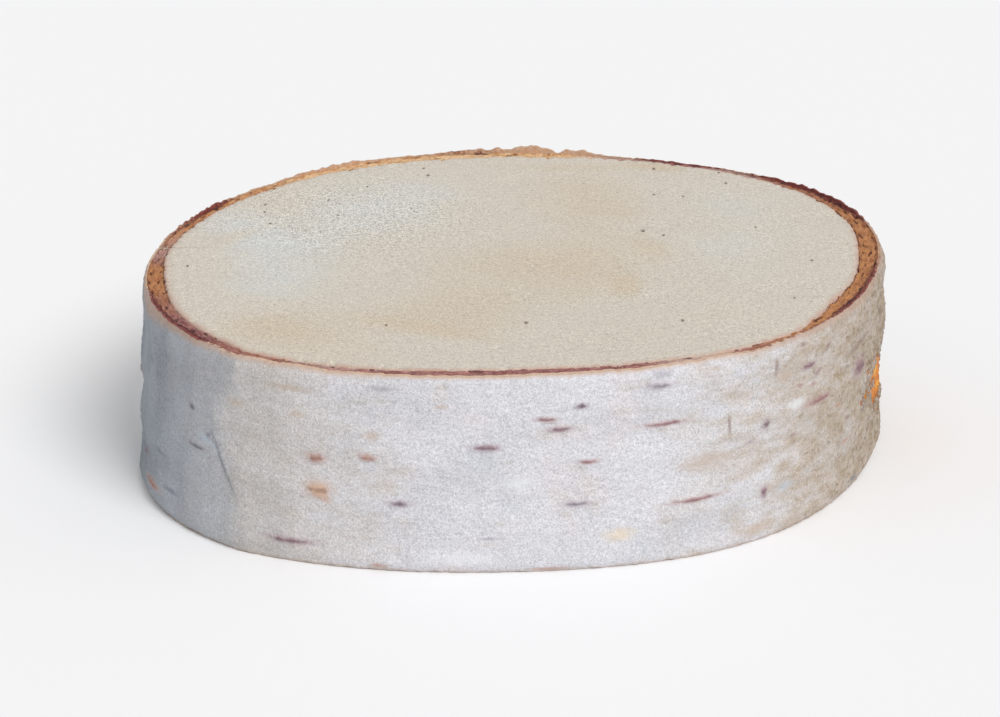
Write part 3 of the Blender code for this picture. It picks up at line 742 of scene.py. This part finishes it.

# How much of each stain or tone the bark has: direction, share. The grey is partly the weathered bark's own
# blue-grey and partly painted shade on the left side, away from the lamp.
BARK_TAN = (
    (-180.0, 0.0), (-66.0, 0.0), (-52.0, 0.28), (-43.0, 0.52), (-36.0, 0.68), (-28.0, 0.78), (-18.0, 0.9),
    (-6.0, 1.0), (14.0, 0.8), (42.0, 0.4), (80.0, 0.25), (118.0, 0.35), (160.0, 0.15),
)
BARK_WARM = (
    (-180.0, 0.0), (-140.0, 0.3), (-129.0, 1.0), (-116.0, 0.6), (-96.0, 0.1), (-78.0, 0.1), (-60.0, 0.5),
    (-45.0, 0.6), (120.0, 0.5),
)
BARK_GREY_AND_SHADE = (
    (-180.0, 1.0), (-165.0, 1.0), (-152.0, 0.84), (-145.0, 0.68), (-138.0, 0.5), (-131.0, 0.4),
    (-118.0, 0.0), (120.0, 0.0), (150.0, 0.4),
)
# The share of the grey and its painted shade that is kept on the lamp's side of the fold's crest
GREY_AND_SHADE_PAST_FOLD = 0.35

# How far down the side the cut edge's brown runs: direction, millimetres
EDGE_STAIN = (
    (-180.0, 1.2), (-156.0, 2.2), (-144.0, 1.2), (-131.0, 0.7), (-100.0, 0.45), (-60.0, 0.5), (-36.0, 1.0),
    (-24.0, 1.3), (-8.0, 0.8), (90.0, 0.6), (170.0, 0.8),
)


def too_close(mark, others):
    """Whether a mark would run into another, counting arc length across the stem and depth along it."""
    for other in others:
        across = abs(math.radians(turn_between(mark[0], other[0]))) * MEAN_RADIUS
        room = (mark[2] + other[2]) / 2.0 + MARK_CLEARANCE
        if across < room and abs(mark[1] - other[1]) < MARK_CLEARANCE:
            return True
    return False


def drawn_marks():
    """Lenticels for the bark that was not measured, drawn with a fixed seed."""
    draw = random.Random(MARK_SEED)
    marks = []
    while len(marks) < DRAWN_MARKS:
        mark = (
            draw.uniform(DRAWN_FROM, DRAWN_TO),
            draw.uniform(DRAWN_FROM_EDGE, THICKNESS - DRAWN_FROM_EDGE),
            draw.uniform(*DRAWN_LENGTHS),
            draw.uniform(*DRAWN_BREADTHS),
        )
        near_split = abs(turn_between(mark[0], SPLIT_DIRECTION)) < CLEAR_OF_SPLIT
        if not near_split and not too_close(mark, [*MEASURED_MARKS, *marks]):
            marks.append(mark)
    return [(*mark, DRAWN_TINTS[index % len(DRAWN_TINTS)]) for index, mark in enumerate(marks)]


LENTICELS = [*MEASURED_MARKS, *drawn_marks()]


def in_marks(angle, depth, marks):
    """Each point's place in its nearest mark, taking the shorter way round the stem."""
    wrapped = (angle + 270.0) % 360.0 - 270.0
    arcs = []
    for turn in (-360.0, 0.0, 360.0):
        for direction, level, length, breadth, tilt, _ in marks:
            across = math.radians(direction + turn) * MEAN_RADIUS
            arcs.append((across, -level, length / 2.0, breadth / 2.0, tilt))
    place, which = nearest_marks(np.radians(wrapped) * MEAN_RADIUS, -depth, arcs)
    return place, which % len(marks)


def outer_rows():
    """The skin's section: across its upper edge, down its side, across its lower edge and up its inside.

    Returned as shares of the skin's width (0 inside, 1 outside) and shares of the height (0 top, 1 foot).
    """
    edge = np.linspace(0.0, 1.0, OUTER_EDGE_ROWS + 1)
    down = np.linspace(0.0, 1.0, OUTER_SIDE_ROWS)
    hidden = np.array(OUTER_HIDDEN_DEPTHS) / THICKNESS
    width = [edge[:-1], np.ones(len(down)), edge[-2::-1], np.zeros(len(hidden))]
    height = [np.zeros(OUTER_EDGE_ROWS), down, np.ones(OUTER_EDGE_ROWS), hidden[::-1]]
    return np.concatenate(width)[:, None], np.concatenate(height)[:, None]


def bark_relief(angle, depth, at):
    """How far the skin stands out beyond the form, in millimetres, with the layers for its colours."""
    from_edge = np.clip(np.minimum(depth, THICKNESS - depth), 0.0, None)
    calm = ease(from_edge, 0.2, 1.4)
    tan = eased_round(BARK_TAN, angle) * np.ones_like(depth)
    wrinkles = 0.03 * rolling(at, 3.4, 41, (1.0, 1.0, 4.0)) + 0.018 * rolling(at, 1.6, 42, (1.0, 1.0, 3.0))
    swells = 0.06 * rolling(at, 11.0, 43, (1.0, 1.0, 1.4)) + 0.03 * rolling(at, 5.0, 44)
    rough = (0.25 + tan) * 0.035 * rolling(at, 1.2, 45)

    # Papery layers end in low steps that wander across the stem
    sheet = rolling(at, 16.0, 46, (1.0, 1.0, 2.2)) + 0.18 * rolling(at, 2.4, 47, (1.0, 1.0, 1.6))
    layers = 0.09 * (ease(sheet, 0.78, 0.86) + ease(sheet, -1.12, -1.05))

    lens, which = in_marks(angle, depth, [(d, t, l, b, 0.0, tint) for d, t, l, b, tint in LENTICELS])
    away = np.hypot(lens[..., 0], lens[..., 1])
    uneven = 1.0 + 0.18 * rolling(at, 1.1, 48)
    arch = np.sqrt(np.clip(1.0 - (away * uneven) ** 2, 0.0, None))
    dome = MARK_RISE * np.clip((1.0 + MARK_SUNK) * arch - MARK_SUNK, 0.0, None)
    slit = 0.06 * hump(lens[..., 1], 0.22) * ease(away, 0.85, 0.5)

    across = np.radians(turn_between(angle, PEEL_DIRECTION)) * MEAN_RADIUS
    ragged = 0.2 * rolling(at, 3.0, 49) + 0.1 * rolling(at, 1.1, 50)
    level = depth - PEEL_LEVEL - PEEL_SLOPE * across
    patch = np.hypot(across / PEEL_HALF_LENGTH, level / PEEL_HALF_BREADTH) + ragged
    peeled = ease(patch, 1.04, 0.94)
    curl = 0.16 * hump(patch - 1.12, 0.1)
    strands = 0.05 * rolling(at, 0.9, 51, (0.35, 0.35, 1.6))
    relief = calm * (wrinkles + swells + rough + layers * (1.0 - peeled) + dome - slit + curl)
    relief = relief + peeled * (strands - PEEL_DEPTH)

    stain, stain_which = in_marks(angle, depth, STAINS)
    lens_tints = np.array([CORK_TINTS[mark[-1]] for mark in LENTICELS])[which]
    stain_tints = np.array([CORK_TINTS[mark[-1]] for mark in STAINS])[stain_which]
    # Painted shade: the grey is full beyond the fold's crest and steps down across it, more softly lower down
    crest = turn_between(angle, fold_line(depth)) + 0.5 * rolling(at, 2.6, 52)
    blur = 0.6 + 1.6 * ease(depth, 2.0, 9.0)
    grey_and_shade_before_fold = GREY_AND_SHADE_PAST_FOLD + (1.0 - GREY_AND_SHADE_PAST_FOLD) * ease(crest, blur, -blur)
    grey = eased_round(BARK_GREY_AND_SHADE, angle) * grey_and_shade_before_fold
    warmth = [eased_round(stations, angle) for stations in (BARK_WARM, DARK_EDGE, RING_ORANGE)]
    return relief, {
        "lens_place": lens,
        "lens_tint": lens_tints,
        "stain_place": stain,
        "stain_tint": stain_tints,
        "bark_zones": np.stack(np.broadcast_arrays(grey, tan, patch), axis=-1),
        "bark_warmth": np.stack(np.broadcast_arrays(*warmth, grey)[:3], axis=-1),
    }


def outer_points():
    """The form plus its relief, with a ragged upper edge that stands up in torn lips, then its inside."""
    width, height = outer_rows()
    angle = np.arange(OUTER_COLUMNS)[None, :] * 360.0 / OUTER_COLUMNS
    rim = stem_points(angle, 0.0, side_radius(angle, 0.0))
    lips = sum(height_up * hump(turn_between(angle, aim), spread) for aim, spread, height_up in TORN_LIPS)
    tatter = 0.025 * rolling(rim, 1.0, 61) + 0.035 * rolling(rim, 2.4, 62) + 0.05 * rolling(rim, 7.0, 66)
    top = OUTER_SETBACK - lips * (1.0 + 0.25 * rolling(rim, 2.0, 63)) + tatter * (1.0 + 1.6 * lips)
    foot = THICKNESS - 0.1 + np.minimum(0.05 * rolling(rim, 1.7, 64), 0.08)
    depth = top + (foot - top) * height
    side = side_radius(angle, depth)
    at = stem_points(angle, depth, side)
    relief, layers = bark_relief(angle, depth, at)
    skin = eased_round(OUTER_WIDTHS, angle)
    frayed = 0.05 * rolling(at, 1.2, 65) * ease(np.minimum(depth - top, foot - depth), 0.7, 0.0)
    radius = side + (relief + frayed) * width - skin * (1.0 - width)
    hidden = (width == 0.0) & (height > 0.0) & (height < 1.0)
    radius = np.where(hidden, side - skin - OUTER_ROOT, radius)
    edge_dip = 0.06 * np.sin(np.pi * width) * ((height == 0.0) * 1.0 - (height == 1.0) * 1.0)
    down = (depth - top) / eased_round(EDGE_STAIN, angle)
    layers["bark_edge"] = np.stack(np.broadcast_arrays(width, down, foot - depth), axis=-1)
    return stem_points(angle, depth + edge_dip, radius), layers


def outer_material():
    """White birch bark: fine streaks across the stem, clouded cream and lilac, with lenticels and stains, and
    a blue-grey left side that is partly its own tone and partly painted shade.
    """
    material, shader, start = new_material("white papery bark")
    grey, tan, patch = parts(stored(start, "bark_zones"))
    warm, dark_edge, orange = parts(stored(start, "bark_warmth"))
    width, down, from_foot = parts(stored(start, "bark_edge"))
    lens_u, lens_v, lens_near = parts(stored(start, "lens_place"))
    stain_u, stain_v, stain_near = parts(stored(start, "stain_place"))
    streaks = grain(place_in_mm(start, (1.0, 1.0, 5.0)), 3.0, 3.0, 0.6)
    smears = grain(place_in_mm(start, (1.0, 1.0, 2.6), (17.0, 0.0, 0.0)), 4.5, 3.0, 0.6)
    haze = grain(place_in_mm(start, (1.0, 1.0, 0.7), (0.0, 7.0, 90.0)), 5.0, 3.0, 0.6)
    cloud = grain(place_in_mm(start, (1.0, 1.0, 1.5), (0.0, 50.0, 0.0)), 13.0, 2.0)
    tint = grain(place_in_mm(start, (1.0, 1.0, 1.2), (80.0, 0.0, 0.0)), 8.0, 2.0)
    dust = grain(place_in_mm(start), 0.5, 2.0, 0.8)
    fine = grain(place_in_mm(start, shift=(60.0, 0.0, 0.0)), 0.26, 1.0)
    edge = grain(place_in_mm(start, shift=(0.0, 0.0, 33.0)), 0.8, 2.0, 0.6)
    speck = dust * 0.18 + fine * 0.28

    base = lay(colour(212, 211, 216), colour(203, 203, 208), rise(cloud, -0.2, 0.8))
    base = lay(base, colour(219, 209, 210), rise(tint, 0.0, 0.8) * 0.6)
    base = lay(base, colour(192, 196, 206), rise(haze, 0.2, 1.0) * 0.45)
    base = lay(base, colour(222, 223, 226), rise(haze, -0.2, -1.0) * 0.5)
    base = lay(base, colour(198, 191, 185), rise(warm + 0.35 * smears + 0.2 * tint, 0.1, 1.1) * 0.9)

    base = lay(base, colour(184, 170, 156), rise(tan + 0.4 * smears + 0.25 * tint, 0.05, 0.8) * 0.9)
    base = lay(base, colour(152, 132, 102), rise(tan + 0.5 * smears + 0.3 * edge, 0.55, 1.3) * 0.85)
    base = lay(base, colour(110, 88, 80), rise(tan * 0.7 + 0.5 * streaks + 0.4 * edge, 0.6, 1.1) * 0.6)
    base = lay(base, colour(204, 208, 214), rise(haze + 0.4 * smears, 0.3, 0.9) * rise(tan, 0.2, 0.5) * 0.5)

    # The blue-grey of the left side: partly the weathered bark's own colour, partly painted shade
    grey_bark_and_shade = lay(colour(136, 145, 154), colour(118, 127, 137), rise(cloud + 0.5 * haze, -0.5, 0.7))
    grey_bark_and_shade = lay(grey_bark_and_shade, colour(126, 118, 120), rise(smears + 0.3 * edge, 0.35, 1.0) * 0.5)
    base = lay(base, grey_bark_and_shade, grey + 0.07 * haze + 0.05 * edge * grey)
    base = shade(base, streaks * 0.03 + speck)

    peel = lay(colour(214, 132, 46), colour(168, 92, 40), rise(streaks + 0.5 * edge, -0.2, 0.8))
    peel = lay(peel, colour(244, 182, 78), rise(smears + 0.3 * dust, 0.0, 0.6) * 0.85)
    peel = lay(peel, colour(104, 58, 44), rise(patch, 0.84, 0.98) * 0.6)
    base = lay(base, peel, rise(patch, 1.01, 0.97))
    torn = rise(patch, 1.35, 1.0) * rise(edge, -0.4, 0.6) * rise(patch, 0.97, 1.01)
    base = lay(base, colour(128, 96, 82), torn * 0.6)

    stain_away = (stain_u * stain_u + stain_v * stain_v) ** 0.5 + 0.35 * edge + 0.12 * dust
    stains = rise(stain_away, 1.5, 0.1) * rise(stain_near, 0.1, 0.4)
    base = lay(base, stored(start, "stain_tint", 0), stains * 0.62)
    lens_away = (lens_u * lens_u + lens_v * lens_v) ** 0.5 + 0.3 * edge + 0.1 * dust
    blush = rise(lens_away, 1.9, 0.6) * rise(lens_near, 0.03, 0.3)
    base = lay(base, lay(stored(start, "lens_tint", 0), colour(200, 182, 184), 0.5), blush * 0.45)
    corky = rise(lens_away, 1.15, 0.25) * rise(lens_near, 0.2, 0.5)
    base = lay(base, stored(start, "lens_tint", 0), corky * 0.72)
    in_lens = rise(lens_away, 0.9, 0.4) * rise(lens_near, 0.3, 0.6)
    slit = rise(lens_v.unsigned() + 0.4 * edge, 0.45, 0.0) * in_lens
    base = lay(base, colour(92, 66, 76), slit * 0.4)

    fringe = lay(colour(210, 190, 178), colour(166, 130, 106), dark_edge.larger(orange) * 0.7 + 0.3 * edge)
    base = lay(base, fringe, rise(down + 0.25 * edge, 1.15, 0.1) * 0.9)
    cut = lay(colour(214, 184, 160), colour(190, 138, 96), rise(orange + 0.5 * edge, 0.2, 1.2) * 0.8)
    dark_cut = lay(colour(140, 70, 62), colour(92, 48, 46), rise(edge, -0.2, 0.7))
    cut = lay(cut, dark_cut, rise(dark_edge + 0.35 * edge, 0.3, 0.8))
    base = lay(base, shade(cut, dust * 0.2), rise(width + 0.1 * edge, 0.99, 0.8) * rise(width, 1.0, 0.98))
    base = lay(base, colour(176, 152, 132), rise(from_foot + 0.2 * edge, 0.6, 0.1) * 0.5)

    relief = streaks * 0.02 + speck * 0.1 + smears * 0.02 + corky * edge * 0.03
    rough = 0.6 + 0.1 * dust + 0.15 * corky + 0.12 * tan
    plug(shader, base_color=base, roughness=rough, normal=bump(relief))
    return material


outer_shape, outer_layers = outer_points()
outer_faces = [ring_quads(len(outer_shape), OUTER_COLUMNS, True)]
outer_bark = new_piece("outer_bark", outer_shape, outer_faces, outer_layers, [outer_material()])
grown_piece(outer_bark)

# The floor: a wide matt pale sheet under the slice, which isn't part of it
FLOOR_HALF = 3.0


def floor_material():
    """Even, matt and nearly white."""
    material, shader, _ = new_material("matt pale floor")
    plug(shader, base_color=colour(252, 252, 253), roughness=0.9)
    return material


corners = np.array([(-1.0, -1.0, 0.0), (1.0, -1.0, 0.0), (1.0, 1.0, 0.0), (-1.0, 1.0, 0.0)]) * FLOOR_HALF / MM
floor = new_piece("floor", corners, [np.array([[0, 1, 2, 3]])], {}, [floor_material()])

# Light and view: an even pale sky, one wide soft lamp at the front right, and a camera a little above the rim
SKY_STRENGTH = 0.55
LAMP_STRENGTH, LAMP_WIDTH, LAMP_TURN, LAMP_TILT = 1.75, 30.0, 35.0, 45.0
CAMERA_FROM_AXIS, CAMERA_HEIGHT, CAMERA_TILT, CAMERA_LENS = (-2.21, -416.24), 172.8, 68.877, 103.24

world = bpy.data.worlds.new("pale studio")
world.use_nodes = True
world.node_tree.nodes["Background"].inputs["Color"].default_value = (1.0, 1.0, 1.0, 1.0)
world.node_tree.nodes["Background"].inputs["Strength"].default_value = SKY_STRENGTH
bpy.context.scene.world = world
bpy.context.scene.view_settings.view_transform = "Standard"

lamp_data = bpy.data.lights.new("soft_lamp", "SUN")
lamp_data.energy, lamp_data.angle = LAMP_STRENGTH, math.radians(LAMP_WIDTH)
lamp = bpy.data.objects.new("soft_lamp", lamp_data)
lamp.rotation_euler = (math.radians(LAMP_TILT), 0.0, math.radians(LAMP_TURN))
bpy.context.scene.collection.objects.link(lamp)

camera_data = bpy.data.cameras.new("camera")
camera_data.lens, camera_data.sensor_width, camera_data.clip_start = CAMERA_LENS, 36.0, 0.01
camera = bpy.data.objects.new("camera", camera_data)
camera_place = AXIS_X + CAMERA_FROM_AXIS[0], AXIS_Y + CAMERA_FROM_AXIS[1], CAMERA_HEIGHT
camera.location = [part * MM for part in camera_place]
camera.rotation_euler = (math.radians(CAMERA_TILT), 0.0, 0.0)
bpy.context.scene.collection.objects.link(camera)
bpy.context.scene.camera = camera
